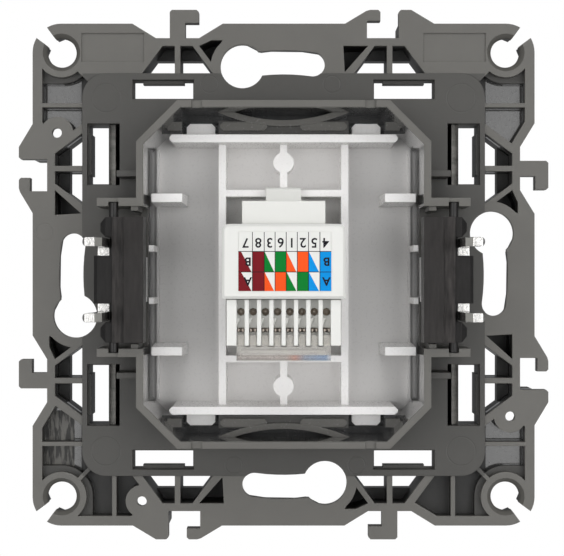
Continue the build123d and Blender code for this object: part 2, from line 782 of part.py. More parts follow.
def idc_block():
    """White comb that the wires are laid in."""
    inside = comb_half - cover_side
    base = box(-inside, inside, comb_low + 0.1, board_high - back_gap, comb_low_z, comb_low_z + comb_base)
    teeth = box(-comb_half, comb_half, comb_low, back_low - back_gap, comb_low_z, comb_top)
    cuts, wedges = [], []
    for i in wires:
        x = i * slot_pitch
        left, right = x - slot_gap / 2, x + slot_gap / 2
        cuts.append(box(left, right, comb_low - 1, back_low, slot_floor, comb_top + 1))
        hole = Pos(x, slot_high - hole_radius) * RegularPolygon(hole_radius, 8)
        cuts.append(prism(hole, comb_low_z - 1, comb_top + 1))
        cuts.append(box(x - blade_half - hole_gap, x + blade_half + hole_gap, blade_y - blade_thick / 2 - hole_gap,
                        blade_y + blade_thick / 2 + hole_gap, comb_low_z - 1, comb_top + 1))
        wedge = polygon([(left - 0.05, wedge_high), (left + wedge_width, wedge_high), (left - 0.05, wedge_low)])
        wedges.append(prism(wedge, slot_floor - 0.2, slot_floor + wedge_rise))
    body = base.fuse(teeth).cut(*cuts)
    return body.fuse(*wedges).clean()


def idc_contact(index):
    """Forked blade that grips a wire."""
    x = wires[index] * slot_pitch
    blade = box(x - blade_half, x + blade_half, blade_y - blade_thick / 2, blade_y + blade_thick / 2,
                board_low_z, blade_top)
    fork = box(x - blade_fork_gap / 2, x + blade_fork_gap / 2, blade_y - 1, blade_y + 1,
               blade_top - blade_fork, blade_top + 1)
    return blade.cut(fork)


def jack_rear_cover():
    """White cover on the back of the jack that carries the label."""
    outer_half = comb_half + cover_side
    face = Pos(0, (back_low + back_high) / 2) * Rectangle(2 * outer_half, back_high - back_low)
    body = prism(face, back_skirt, back_top)
    upper = [e for e in body.edges().filter_by(Axis.Z) if e.center().Y > 0]
    body = fillet(upper, back_round)
    body = chamfer(body.faces().sort_by(Axis.Z)[-1].edges(), back_edge)
    wide = jack_half + back_gap
    lower = box(-wide, wide, back_low - 1, back_high + 1, back_skirt - 1, comb_low_z)
    inner = box(-wide, wide, back_low - 1, board_high + back_gap, comb_low_z - 1, back_top - cover_top)
    return body.cut(lower, inner).clean()


def wiring_label():
    """Thin printed label stuck on the rear cover."""
    return box(label_x - label_half, label_x + label_half, label_low, label_high, back_top, back_top + label_thick)


def wire_cap():
    """Clear cap that is pressed over the wires from behind."""
    high = comb_low - cap_gap
    bar = box(-cap_half, cap_half, cap_low, high, cap_floor, cap_top)
    hollow = box(-cap_half + cap_wall, cap_half - cap_wall, cap_low + cap_wall, high - cap_wall,
                 cap_floor - 1, cap_top - cap_wall)
    width = slot_gap / 2 - finger_fit
    fingers = [box(i * slot_pitch - width, i * slot_pitch + width, high - 0.2, high + finger_reach,
                   slot_floor + finger_lift, cap_top) for i in wires]
    return bar.cut(hollow).fuse(*fingers).clean()


def claw_lever():
    """Black lever of the right claw unit: arm, strips, end lobes, nose and pivot stubs."""
    low, high = claw_middle - lever_down, claw_middle + lever_up
    strip = lever_in + lever_strip
    strip_2 = strip + lever_strip_2
    edge = pivot_x + lobe_out
    arm = polygon([(lever_in, lever_front), (lever_in, lever_rear), (strip, lever_rear), (strip, lever_rear - lever_step),
                   (strip_2, lever_rear - lever_step), (strip_2 + 0.2, lever_front)])
    lobe = polygon([(strip, lobe_low), (strip, lobe_rear), (edge - 0.8, lobe_rear), (edge, lobe_rear - 1.0),
                    (edge, lobe_low + 0.6), (edge - 0.6, lobe_low)])
    nose = polygon([(strip, lever_front), (strip, nose_rear), (pivot_x + nose_out - 0.5, nose_rear),
                    (pivot_x + nose_out, nose_rear - 0.6), (pivot_x + nose_out, lever_front + 0.6),
                    (pivot_x + nose_out - 0.5, lever_front)])

    def along(outline, start, stop):
        """Profile across the claw, drawn in x and z, carried from start to stop along y."""
        return Pos(0, start, 0) * Rot(90, 0, 0) * extrude(outline, amount=stop - start, dir=(0, 0, -1))

    stubs_low = claw_middle - ear_gap_half - pivot_in_ear + pivot_end_gap
    stubs_high = claw_middle + ear_gap_half + pivot_in_ear - pivot_end_gap
    stub = Pos(pivot_x, (stubs_low + stubs_high) / 2, pivot_z) * Rot(90, 0, 0)
    lobes = []
    for start, stop in ((low, claw_y - lobe_half), (claw_y + lobe_half, high)):
        plan = Pos(strip, (start + stop) / 2) * chamfered_rect(edge - strip, (stop - start) / 2, lobe_edge)
        lobes.append(along(lobe, start, stop) & prism(plan, lobe_low - 1, lobe_rear + 1))
    parts = [*lobes, along(nose, claw_y - nose_half, claw_y + nose_half),
             stub * Cylinder(pivot_radius, stubs_high - stubs_low)]
    body = along(arm, low, high).fuse(*parts)
    room = box(channel_x - channel_fit, channel_x + channel_width + 2, claw_y - lobe_half, claw_y + lobe_half,
               channel_z - channel_fit, channel_z + channel_thick + channel_fit)
    side = prong_spread + prong_thick / 2 + channel_fit
    flank = box(channel_x - channel_fit, channel_x + 5, claw_y - side, claw_y - nose_half - 0.02,
                channel_z - channel_fit, prong_tip_z)
    flank_2 = box(channel_x - channel_fit, channel_x + 5, claw_y + nose_half + 0.02, claw_y + side,
                  channel_z - channel_fit, prong_tip_z)
    return body.cut(room, flank, flank_2).clean()


def claw_plate():
    """Steel channel of the right claw unit with a pointed prong on each flange."""
    x0, x1 = channel_x, channel_x + channel_width
    z0, z1 = channel_z, channel_z + channel_thick
    side = prong_spread + prong_thick / 2
    web = box(x0, x1, claw_y - side, claw_y + side, z0, z1)
    tip_z = prong_tip_z
    flange = polygon([(x0, z0), (x1, z0), (x1 - 0.1, tip_z - prong_width - 1.6), (prong_tip_x - 0.25, tip_z - 1.1),
                      (prong_tip_x, tip_z - 0.35), (prong_tip_x - 0.35, tip_z), (x0 + 0.9, tip_z),
                      (x0, tip_z - 1.2)])
    blank = Rot(90, 0, 0) * extrude(flange, amount=prong_thick / 2, both=True)
    plan = Pos((x0 + prong_tip_x) / 2, 0) * Rectangle(prong_tip_x - x0, prong_thick)
    plan = fillet(plan.vertices().group_by(Axis.X)[-1], prong_round)
    blank = blank & prism(plan, z0 - 1, tip_z + 1)
    flanges = [Pos(0, claw_y + y, 0) * blank for y in (-prong_spread, prong_spread)]
    return web.fuse(*flanges).clean()


def claw_screw():
    """Slotted screw of the right claw unit, from the front through the nut to the lever."""
    tip = lever_front - screw_tip_gap
    length = tip - front - screw_head_thick
    shank = Pos(screw_x, claw_y, tip - length / 2) * Cylinder(screw_radius, length)
    head = Pos(screw_x, claw_y, front + screw_head_thick / 2) * Cylinder(screw_head, screw_head_thick)
    slot = box(screw_x - screw_head, screw_x + screw_head, claw_y - screw_slot / 2, claw_y + screw_slot / 2,
               front - 1, front + screw_head_thick / 2)
    return shank.fuse(head).cut(slot).clean()


def claw_nut():
    """Square nut held in the frame."""
    block = box(screw_x - nut_half, screw_x + nut_half, claw_y - nut_half, claw_y + nut_half,
                nut_low, nut_low + nut_thick)
    return block.cut(Pos(screw_x, claw_y, nut_low + nut_thick / 2) * Cylinder(screw_radius + pivot_fit, 2 * nut_thick))


nodes = {
    "support_frame": support_frame(),
    "centre_plate": centre_plate(),
    "jack_housing": jack_housing(),
    "contact_comb": contact_comb(),
    "jack_board": jack_board(),
    "idc_block": idc_block(),
    "jack_rear_cover": jack_rear_cover(),
    "wiring_label": wiring_label(),
    "wire_cap": wire_cap(),
}
for number in range(wire_count):
    nodes[f"spring_contact_{number + 1}"] = spring_contact(number)
    nodes[f"idc_contact_{number + 1}"] = idc_contact(number)
for piece, shape in (("lever", claw_lever()), ("plate", claw_plate()), ("screw", claw_screw()), ("nut", claw_nut())):
    nodes[f"right_claw_{piece}"] = shape
    nodes[f"left_claw_{piece}"] = mirror(shape, about=Plane.YZ)

for name, shape in nodes.items():
    export_step(upright(shape), f"parts/{name}.step")
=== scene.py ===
# %% [markdown]
# # Network wall socket, seen from its wall side
# The CAD model gives every solid piece its true shape and place.
# This script dresses those solids: it gives each plastic and metal its finish,
# prints the wiring label, and sets the camera and the studio light.
# All lengths are metres, in the CAD model's own frame: up is +Z, and the wall side faces -Y.
#
# ## Loading the frame

# %% Load the frame
import bpy
import numpy as np
from mathutils import Matrix, Vector


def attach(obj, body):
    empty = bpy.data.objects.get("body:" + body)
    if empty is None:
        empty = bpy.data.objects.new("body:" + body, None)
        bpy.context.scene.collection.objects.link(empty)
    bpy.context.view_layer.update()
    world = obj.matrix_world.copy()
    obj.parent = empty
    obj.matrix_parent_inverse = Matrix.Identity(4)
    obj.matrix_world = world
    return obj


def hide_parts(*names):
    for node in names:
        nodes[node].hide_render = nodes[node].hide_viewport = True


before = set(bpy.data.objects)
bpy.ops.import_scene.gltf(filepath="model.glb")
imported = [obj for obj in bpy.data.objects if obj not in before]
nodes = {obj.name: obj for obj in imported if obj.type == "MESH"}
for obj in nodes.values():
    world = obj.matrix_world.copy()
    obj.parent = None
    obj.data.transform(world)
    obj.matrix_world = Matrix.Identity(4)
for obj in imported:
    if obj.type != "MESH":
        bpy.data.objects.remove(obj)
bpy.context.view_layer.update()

# %% [markdown]
# The CAD model was drawn lying down, with x to the right, y up and z out of the wall side, in
# millimetres. Working in those numbers is easier, so one small function turns them into the frame,
# and a second one makes a mesh from arrays and hangs it on a body of the socket.


# %% Places in millimetres
def place(points):
    """Rows of (x, y, z) in millimetres, lying down, turned upright: X is x, Y is minus z, Z is y, over 1000."""
    p = np.asarray(points, float).reshape(-1, 3)
    return np.stack([p[:, 0], -p[:, 2], p[:, 1]], 1) / 1000


def new_piece(name, verts, faces, body, material):
    """Mesh from an array of corners and rows of corner numbers, riding on one body of the socket."""
    mesh = bpy.data.meshes.new(name)
    mesh.from_pydata(np.asarray(verts).tolist(), [], [list(map(int, f)) for f in faces])
    mesh.validate()
    piece = bpy.data.objects.new(name, mesh)
    bpy.context.scene.collection.objects.link(piece)
    mesh.materials.append(material)
    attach(piece, body)
    return piece


# %% [markdown]
# ## Camera
# The picture was taken with a long lens, square on to the wall side. The collar and the jack stand
# nearer to the lens than the frame, so they look larger. How much larger gives the distance: 240 mm
# from the face of the frame, with a picture about 80 mm wide there.

# %% Camera
picture_width = 0.07977
camera_distance = 0.240
picture_middle = (-0.000225, -0.00048)
lens = bpy.data.cameras.new("studio_camera")
lens.sensor_width = 36.0
lens.lens = lens.sensor_width * camera_distance / picture_width
lens.clip_start, lens.clip_end = 0.01, 10.0
camera = bpy.data.objects.new("studio_camera", lens)
bpy.context.scene.collection.objects.link(camera)
stand = Matrix.Translation((picture_middle[0], -camera_distance, picture_middle[1]))
camera.matrix_world = stand @ Matrix.Rotation(np.pi / 2, 4, "X")
bpy.context.scene.camera = camera
bpy.context.scene.view_settings.view_transform = "Standard"
print("lens", round(lens.lens, 1), "mm")

# %% [markdown]
# ## Studio
# The product was shot on white. A white world would light it from all sides and wash out its greys,
# so the world has two strengths: a soft one for the light on the object, and plain white for a ray
# that comes straight from the camera or has passed through the clear cap.


# %% Surroundings
def node_tree(owner):
    """Emptied node tree of a world or a material, with its nodes and its links."""
    owner.use_nodes = True
    tree = owner.node_tree
    tree.nodes.clear()
    return tree, tree.nodes, tree.links


def white_to_camera(tree):
    """One where a ray comes straight from the camera or through clear plastic, else zero."""
    path = tree.nodes.new("ShaderNodeLightPath")
    either = tree.nodes.new("ShaderNodeMath")
    either.operation = "MAXIMUM"
    tree.links.new(path.outputs["Is Camera Ray"], either.inputs[0])
    tree.links.new(path.outputs["Is Transmission Ray"], either.inputs[1])
    return either.outputs[0]


studio = bpy.data.worlds.new("studio")
bpy.context.scene.world = studio
tree, n, links = node_tree(studio)
ambient, white = n.new("ShaderNodeBackground"), n.new("ShaderNodeBackground")
ambient.inputs["Color"].default_value = (0.97, 0.98, 1.0, 1)
ambient.inputs["Strength"].default_value = 0.24
white.inputs["Color"].default_value = (1, 1, 1, 1)
white.inputs["Strength"].default_value = 1.0
mix = n.new("ShaderNodeMixShader")
links.new(white_to_camera(tree), mix.inputs[0])
links.new(ambient.outputs[0], mix.inputs[1])
links.new(white.outputs[0], mix.inputs[2])
links.new(mix.outputs[0], n.new("ShaderNodeOutputWorld").inputs[0])
print("ambient light", round(ambient.inputs["Strength"].default_value, 2))

# %% [markdown]
# Five flat lamps stand in front of the object. Two of them are close to the line of sight: the glossy
# floors of the outer pockets mirror them, and the plateau, which mirrors the dark place round the
# lens, stays darker; its colour is also painted darker, as painted shade. Three more stand further out, at the left,
# at the right and above.


# %% Lamps
def softbox(name, middle, aim, width, height, power):
    """Flat lamp at a place in metres that faces a point."""
    lamp = bpy.data.lights.new(name, "AREA")
    lamp.shape, lamp.size, lamp.size_y = "RECTANGLE", width, height
    lamp.energy = power
    holder = bpy.data.objects.new(name, lamp)
    bpy.context.scene.collection.objects.link(holder)
    aim_line = np.array(aim) - np.array(middle)
    turn = Vector(aim_line).to_track_quat("-Z", "Y").to_matrix().to_4x4()
    holder.matrix_world = Matrix.Translation(middle) @ turn
    return holder


for mark, name in ((-1, "left"), (1, "right")):
    softbox(f"{name}_near", (mark * 0.37, -0.90, 0.01), (mark * 0.37, 0, 0.01), 0.47, 0.28, 1.2)
softbox("left_box", (-0.62, -0.62, 0.05), (0, 0, 0), 0.5, 0.6, 1.95)
softbox("right_box", (0.62, -0.62, 0.05), (0, 0, 0), 0.5, 0.6, 2.3)
softbox("upper_box", (0.05, -0.62, 0.62), (0, 0, 0), 0.7, 0.4, 2.5)
print("lamps", [lamp.name for lamp in bpy.data.lights])

# %% [markdown]
# A wide sheet of paper lies well below the object. It is matt and pale for the light that bounces off
# it, and it glows white for the same rays that see the world as white, so that no seam shows.

# %% Paper floor
paper = bpy.data.materials.new("white_paper")
tree, n, links = node_tree(paper)
kinds = ("ShaderNodeBsdfPrincipled", "ShaderNodeEmission", "ShaderNodeMixShader")
sheet, glow, both = (n.new(kind) for kind in kinds)
sheet.inputs["Base Color"].default_value = (0.9, 0.9, 0.9, 1)
sheet.inputs["Roughness"].default_value = 0.9
links.new(white_to_camera(tree), both.inputs[0])
links.new(sheet.outputs[0], both.inputs[1])
links.new(glow.outputs[0], both.inputs[2])
links.new(both.outputs[0], n.new("ShaderNodeOutputMaterial").inputs[0])
floor_half, floor_height = 3.0, -0.14
floor_corners = np.array([(-1, -1), (1, -1), (1, 1), (-1, 1)]) * floor_half
floor_mesh = bpy.data.meshes.new("floor")
floor_mesh.from_pydata([(x, y, floor_height) for x, y in floor_corners.tolist()], [], [(0, 1, 2, 3)])
floor = bpy.data.objects.new("floor", floor_mesh)
bpy.context.scene.collection.objects.link(floor)
floor_mesh.materials.append(paper)
print("floor", 2 * floor_half, "m wide,", -floor_height, "m below the middle")

# %% [markdown]
# ## Effects that several finishes share
# Each effect is a node group: a small machine with named inputs that is built once and placed in
# every finish that needs it. Its nodes are mostly sums, so a few helpers come first. One starts an
# empty group, one adds a sum, and one multiplies several masks.


# %% Helpers for node groups
def group(name, inputs, outputs):
    """Empty node group with sockets given as (name, type, value)."""
    made = bpy.data.node_groups.new(name, "ShaderNodeTree")
    for socket, kind, value in inputs:
        item = made.interface.new_socket(socket, in_out="INPUT", socket_type=kind)
        item.default_value = value
    for socket, kind in outputs:
        made.interface.new_socket(socket, in_out="OUTPUT", socket_type=kind)
    return made, made.nodes.new("NodeGroupInput"), made.nodes.new("NodeGroupOutput")


def maths(tree, operation, a, b=None, c=None):
    """Math node; each of a, b and c is a socket or a number."""
    made = tree.nodes.new("ShaderNodeMath")
    made.operation = operation
    for socket, value in zip(made.inputs, (a, b, c)):
        if value is None:
            continue
        if isinstance(value, (int, float)):
            socket.default_value = value
        else:
            tree.links.new(value, socket)
    return made.outputs[0]


def product(tree, first, *others):
    """All the factors multiplied together; each is a socket or a number."""
    for factor in others:
        first = maths(tree, "MULTIPLY", first, factor)
    return first


# %% [markdown]
# *Edge light* finds the rounded edges that moulding leaves: it compares the true normal with one that
# is smoothed over a small radius, and where the two differ there is an edge. The finishes use this mask
# to paint a highlight on the edges. It also hands on the smoothed normal, which rounds the sharp edges of the CAD
# mesh for the light.


# %% Edge light
def edge_light_group():
    """Mask of the rounded edges: gain x (1 minus the dot product of the plain and the smoothed normal), at most 1."""
    made, put, out = group("edge_light", [("Radius", "NodeSocketFloat", 0.0002), ("Gain", "NodeSocketFloat", 6.0)],
                           [("Mask", "NodeSocketFloat"), ("Normal", "NodeSocketVector")])
    kinds = ("ShaderNodeBevel", "ShaderNodeNewGeometry", "ShaderNodeVectorMath")
    bevel, plain, dot = (made.nodes.new(kind) for kind in kinds)
    bevel.samples = 4
    dot.operation = "DOT_PRODUCT"
    made.links.new(put.outputs["Radius"], bevel.inputs["Radius"])
    made.links.new(bevel.outputs[0], dot.inputs[0])
    made.links.new(plain.outputs["True Normal"], dot.inputs[1])
    away = maths(made, "SUBTRACT", 1.0, dot.outputs["Value"])
    strong = product(made, away, put.outputs["Gain"])
    made.links.new(maths(made, "MINIMUM", strong, 1.0), out.inputs["Mask"])
    made.links.new(bevel.outputs[0], out.inputs["Normal"])
    return made


edge_light = edge_light_group()
print("group", edge_light.name, len(edge_light.nodes), "nodes")

# %% [markdown]
# *Moulded skin* is the fine unevenness of moulded plastic. Fine noise gives a height for the bump and
# for the roughness, and broad noise gives a tone, because a moulding is never one even colour.


# %% Moulded skin
def moulded_skin_group():
    """Two layers of noise on object coordinates: fine for the height, broad for the tone."""
    made, put, out = group("moulded_skin", [("Fine", "NodeSocketFloat", 2500.0), ("Broad", "NodeSocketFloat", 90.0)],
                           [("Height", "NodeSocketFloat"), ("Tone", "NodeSocketFloat")])
    where = made.nodes.new("ShaderNodeTexCoord")
    fine, broad = made.nodes.new("ShaderNodeTexNoise"), made.nodes.new("ShaderNodeTexNoise")
    for noise, scale in ((fine, "Fine"), (broad, "Broad")):
        made.links.new(where.outputs["Object"], noise.inputs["Vector"])
        made.links.new(put.outputs[scale], noise.inputs["Scale"])
    fine.inputs["Detail"].default_value = 3.0
    broad.inputs["Detail"].default_value = 5.0
    broad.inputs["Roughness"].default_value = 0.62
    made.links.new(fine.outputs[0], out.inputs["Height"])
    made.links.new(broad.outputs[0], out.inputs["Tone"])
    return made


moulded_skin = moulded_skin_group()
print("group", moulded_skin.name, len(moulded_skin.nodes), "nodes")

# %% [markdown]
# One moulding has places with a different look: pockets and a plateau painted darker as shade, lugs with a painted
# highlight, polished inner walls.
# Painting them by hand would need a map, so they are told apart by where a point lies. These helpers
# turn the object coordinates into millimetres and into masks that are one inside a box of limits.


# %% Helpers for zones
def spots(made):
    """Object coordinates in millimetres: x, depth y, height z, and the absolute values of x and z."""
    where, split = made.nodes.new("ShaderNodeTexCoord"), made.nodes.new("ShaderNodeSeparateXYZ")
    made.links.new(where.outputs["Object"], split.inputs[0])
    x, y, z = (maths(made, "MULTIPLY", split.outputs[k], 1000.0) for k in "XYZ")
    return x, y, z, maths(made, "ABSOLUTE", x), maths(made, "ABSOLUTE", z)


def within(tree, *limits):
    """One where each value lies between its low and its high limit, else zero; a limit of None is left out."""
    tests = []
    for value, low, high in limits:
        if low is not None:
            tests.append(maths(tree, "GREATER_THAN", value, low))
        if high is not None:
            tests.append(maths(tree, "LESS_THAN", value, high))
    return product(tree, *tests)


def smooth(tree, value, low, high):
    """Zero below low, one above high, and an even S between them: 3 t squared minus 2 t cubed."""
    step = tree.nodes.new("ShaderNodeMapRange")
    step.interpolation_type = "SMOOTHSTEP"
    step.inputs["From Min"].default_value, step.inputs["From Max"].default_value = low, high
    tree.links.new(value, step.inputs["Value"])
    return step.outputs[0]


def from_ring(made, x, z, at_x, at_z, radius):
    """Distance in the plane of the wall to a ring: |square root of (dx squared + dz squared) - radius|."""
    dx, dz = maths(made, "SUBTRACT", x, at_x), maths(made, "SUBTRACT", z, at_z)
    away = maths(made, "SQRT", maths(made, "MULTIPLY_ADD", dx, dx, maths(made, "MULTIPLY", dz, dz)))
    return maths(made, "ABSOLUTE", maths(made, "SUBTRACT", away, radius))


def streaks(tree, scale, squash):
    """Noise on object coordinates times three factors: a small factor draws it out along its axis."""
    kinds = ("ShaderNodeTexCoord", "ShaderNodeMapping", "ShaderNodeTexNoise")
    where, stretch, noise = (tree.nodes.new(kind) for kind in kinds)
    stretch.inputs["Scale"].default_value = squash
    noise.inputs["Scale"].default_value, noise.inputs["Detail"].default_value = scale, 4.0
    tree.links.new(where.outputs["Object"], stretch.inputs[0])
    tree.links.new(stretch.outputs[0], noise.inputs["Vector"])
    return noise.outputs[0]


# %% [markdown]
# ## Zones of the support frame
# The limits below are millimetres on the frame itself, measured like the CAD sizes. Depth counts from
# the wall face and grows into the room, so the collar and its ledges, which stand out of the wall
# side, have negative depths.

# %% Limits of the frame's zones
plateau_half = 28.45                    # half width of the sunk plateau, painted darker as shade
small_pins = [(-10.44, 26.9), (6.85, 26.9), (-33.78, 6.02), (-7.02, -26.9), (10.32, -26.9)]
small_pin_radius = 1.2
big_pin, big_pin_radius = (25.1, 24.95), 2.02
rim_front = -8.3                        # the collar's rim lies beyond this depth
pocket_shade_fade = (0.35, 1.6)               # painted pocket shade fades in between these depths
pocket_end, pocket_reach = 7.2, 34.3
collar_wide, collar_tall, collar_corner = 19.25, 22.9, 37.0
ledge_tall, ledge_depth, ledge_free = (19.7, 22.8), (-2.0, 0.4), 9.3
lug_tall, lug_depth = (20.1, 22.7), (-2.6, -2.2)
rack_wide, rack_tall, rack_depth = (23.8, 24.75), (12.7, 21.3), (1.0, 2.1)
scratch_x, scratch_z, scratch_depth = (-34.2, -29.9), (-27.4, -19.4), (2.0, 3.0)
outer_from, outer_depth = 28.9, (1.9, 3.2)
ledge_shade_share = 0.7                       # the ledges take this much of the painted pocket shade


def frame_masks(made):
    """One mask for each zone: the product of its limits on x, depth, height and their absolute values."""
    x, y, z, wide, tall = spots(made)
    far = maths(made, "MAXIMUM", wide, tall)
    inside = within(made, (wide, None, collar_wide), (tall, None, collar_tall),
                    (maths(made, "ADD", wide, tall), None, collar_corner))
    # Painted shade: the pockets and the ledges under the collar are darkened where little light reaches them.
    pockets = product(made, smooth(made, y, *pocket_shade_fade), within(made, (far, None, pocket_reach), (y, None, pocket_end)))
    ledges = product(made, inside, within(made, (tall, *ledge_tall), (y, *ledge_depth), (wide, ledge_free, None)), ledge_shade_share)
    scratched = within(made, (x, *scratch_x), (z, *scratch_z), (y, *scratch_depth))
    rings = from_ring(made, wide, tall, *big_pin, big_pin_radius)
    for at_x, at_z in small_pins:
        rings = maths(made, "MINIMUM", rings, from_ring(made, x, z, at_x, at_z, small_pin_radius))
    return {
        "plateau": within(made, (far, None, plateau_half)),
        "rim": within(made, (y, None, rim_front)),
        "sunk": maths(made, "MAXIMUM", pockets, ledges),
        "inside": inside,
        "lugs": product(made, inside, within(made, (tall, *lug_tall), (y, *lug_depth))),
        "rack": within(made, (wide, *rack_wide), (tall, *rack_tall), (y, *rack_depth)),
        "scratched": scratched,
        "floors": product(made, within(made, (wide, outer_from, None), (y, *outer_depth)),
                          maths(made, "SUBTRACT", 1.0, scratched)),
        "rings": rings,
    }


# %% [markdown]
# The group turns the masks into three values. *Tone* multiplies the base colour: the pockets and the
# plateau are painted darker as shade, while the collar's rim keeps the base tone; the lugs are lightened as a painted
# highlight, and the toothed strip and the scratched pockets are lighter. *Polish* is one inside the collar and on the
# floors of the outer pockets.
# *Height* holds the scratches and the fine rings that ejector pins leave.

# %% Frame zones
# The first number lightens the lugs as a painted highlight.
lug_highlight_gain, scratch_gain, scratch_height = 0.45, 1.1, 0.6
rack_grain = (1500.0, (0.4, 1.0, 1.0))             # scale of the noise, and its three factors
scratch_grain, grain_cut = (3400.0, (1.0, 1.0, 0.14)), (0.44, 0.60)
ring_line = (0.03, 0.13)                           # half width of a ring's groove, in mm
zone_outputs = [(name, "NodeSocketFloat") for name in ("Tone", "Polish", "Height")]


def frame_zones_group():
    """Tone = (plateau shade or rim tone + lug highlight) x painted pocket shade + rack + scratches; polish and height
    come from the masks.
    """
    # Painted shade: the plateau and the pockets are darkened by these tones.
    tones = {"Plateau Shade": 0.5, "Rim Tone": 1.0, "Pocket Shade": 0.17, "Rack Tone": 3.4}
    inputs = [(name, "NodeSocketFloat", value) for name, value in tones.items()]
    made, put, out = group("frame_zones", inputs, zone_outputs)
    plateau, rim, pocket, rack = (put.outputs[name] for name in tones)
    mask = frame_masks(made)
    tone = maths(made, "MULTIPLY_ADD", mask["plateau"], maths(made, "SUBTRACT", plateau, 1.0), 1.0)
    tone = maths(made, "MULTIPLY_ADD", mask["rim"], maths(made, "SUBTRACT", rim, plateau), tone)
    # Painted highlight on the lugs.
    tone = maths(made, "MULTIPLY_ADD", mask["lugs"], lug_highlight_gain, tone)
    # Painted shade in the pockets and on the ledges.
    pocket_shade_factor = maths(made, "MULTIPLY_ADD", mask["sunk"], maths(made, "SUBTRACT", pocket, 1.0), 1.0)
    teeth = product(made, rack, streaks(made, *rack_grain))
    tone = maths(made, "MULTIPLY_ADD", mask["rack"], teeth, product(made, tone, pocket_shade_factor))
    grain = smooth(made, streaks(made, *scratch_grain), *grain_cut)
    scratches = product(made, mask["scratched"], grain)
    made.links.new(maths(made, "MULTIPLY_ADD", scratches, scratch_gain, tone), out.inputs["Tone"])
    made.links.new(maths(made, "MAXIMUM", mask["inside"], mask["floors"]), out.inputs["Polish"])
    rings = smooth(made, mask["rings"], *ring_line)
    made.links.new(maths(made, "MULTIPLY_ADD", scratches, scratch_height, rings), out.inputs["Height"])
    return made


frame_zones = frame_zones_group()
print("group", frame_zones.name, len(frame_zones.nodes), "nodes")

# %% [markdown]
# ## Zones of the levers and the cover
# Each black lever has two lighter strips beside a dark nose, and streaks run along the lever. The white
# cover needs one zone: its floor beside the long ribs darkens towards the middle, where it faces the
# black levers and little light reaches it.

# %% Lever zones and cover zones
strip_one, strip_two = (18.9, 21.62), (21.62, 23.35)
strip_front = -9.9
lever_grain = (2600.0, (1.0, 1.0, 0.16))
floor_depth, rib_foot = 6.4, (8.9, 10.2)
shade_middle, shade_fade = 1.5, (4.0, 18.5)
side_fade, side_drop = (-10.0, 10.0), 0.3          # the floor at the right is shaded less


def lever_zones_group():
    """Tone = (0.4 + strip gain x strips) x streaks; the second strip and the polish follow the streaks as well."""
    made, put, out = group("lever_zones", [("Strip Gain", "NodeSocketFloat", 1.0)], zone_outputs)
    x, y, z, wide, tall = spots(made)
    streak = streaks(made, *lever_grain)
    marks = maths(made, "MULTIPLY_ADD", streak, 1.6, -0.3)
    first = product(made, within(made, (wide, *strip_one)), 0.55)
    second = product(made, within(made, (wide, *strip_two)), product(made, marks, 1.5))
    lighter_strips = product(made, maths(made, "ADD", first, second), within(made, (y, None, strip_front)))
    tone = maths(made, "MULTIPLY_ADD", lighter_strips, put.outputs["Strip Gain"], 0.4)
    made.links.new(product(made, tone, maths(made, "MULTIPLY_ADD", streak, 0.9, 0.55)), out.inputs["Tone"])
    made.links.new(product(made, marks, 0.4), out.inputs["Polish"])
    made.links.new(streak, out.inputs["Height"])
    return made


def cover_zones_group():
    """Tone = 1 - shade x floor x nearness to the middle height x a factor that falls from 1 at the left to 0.7."""
    made, put, out = group("cover_zones", [("Shade", "NodeSocketFloat", 0.35)], zone_outputs)
    x, y, z, wide, tall = spots(made)
    floor_part = product(made, within(made, (y, floor_depth, None)), smooth(made, wide, *rib_foot))
    from_middle = maths(made, "ABSOLUTE", maths(made, "ADD", z, shade_middle))
    middle = maths(made, "SUBTRACT", 1.0, smooth(made, from_middle, *shade_fade))
    side = maths(made, "MULTIPLY_ADD", smooth(made, x, *side_fade), -side_drop, 1.0)
    dark = product(made, floor_part, middle, side, put.outputs["Shade"])
    made.links.new(maths(made, "SUBTRACT", 1.0, dark), out.inputs["Tone"])
    out.inputs["Polish"].default_value, out.inputs["Height"].default_value = 0.0, 0.0
    return made


lever_zones, cover_zones = lever_zones_group(), cover_zones_group()
print("groups", [g.name for g in bpy.data.node_groups])

# %% [markdown]
# ## Finishes
# Every plastic and metal here is the same recipe with its own numbers: a base colour that wanders a
# little with the broad noise, edges painted lighter as a highlight, a roughness that follows the fine noise,
# and a bump so shallow that it only breaks up the highlights. The shader stays in the material, and
# only colours, values and normals come out of the groups.

# %% Recipe of a finish
fine_scale, broad_scale = 2600.0, 110.0
edge_radius, edge_gain = 0.00018, 4.0
skin_relief, zone_relief = 0.00005, 0.00006        # metres, the depth of the bumps
rough_swing, gloss_step = 0.25, 0.2


def base_colour(tree, colour, edge, wander, skin, rim):
    """Colour x (1 + wander x tone) on the faces, blended into edge x colour where the edge mask is one: a painted
    highlight on the edges.
    """
    ramp, blend = tree.nodes.new("ShaderNodeValToRGB"), tree.nodes.new("ShaderNodeMix")
    dark, light = ([c * (1 + k * wander) for c in colour] + [1] for k in (-1, 1))
    ramp.color_ramp.elements[0].position, ramp.color_ramp.elements[0].color = 0.3, dark
    ramp.color_ramp.elements[1].position, ramp.color_ramp.elements[1].color = 0.7, light
    tree.links.new(skin.outputs["Tone"], ramp.inputs[0])
    blend.data_type = "RGBA"
    # Painted highlight: at the edges the base colour is multiplied by edge.
    blend.inputs[7].default_value = [min(1, c * edge) for c in colour] + [1]
    tree.links.new(rim.outputs["Mask"], blend.inputs[0])
    tree.links.new(ramp.outputs[0], blend.inputs[6])
    return blend.outputs[2]


def bumped(tree, height, normal, strength, depth):
    """Normal that is tilted by the slope of a height, which is `depth` metres at one."""
    relief = tree.nodes.new("ShaderNodeBump")
    relief.inputs["Strength"].default_value, relief.inputs["Distance"].default_value = strength, depth
    tree.links.new(height, relief.inputs["Height"])
    if normal is not None:
        tree.links.new(normal, relief.inputs["Normal"])
    return relief.outputs[0]


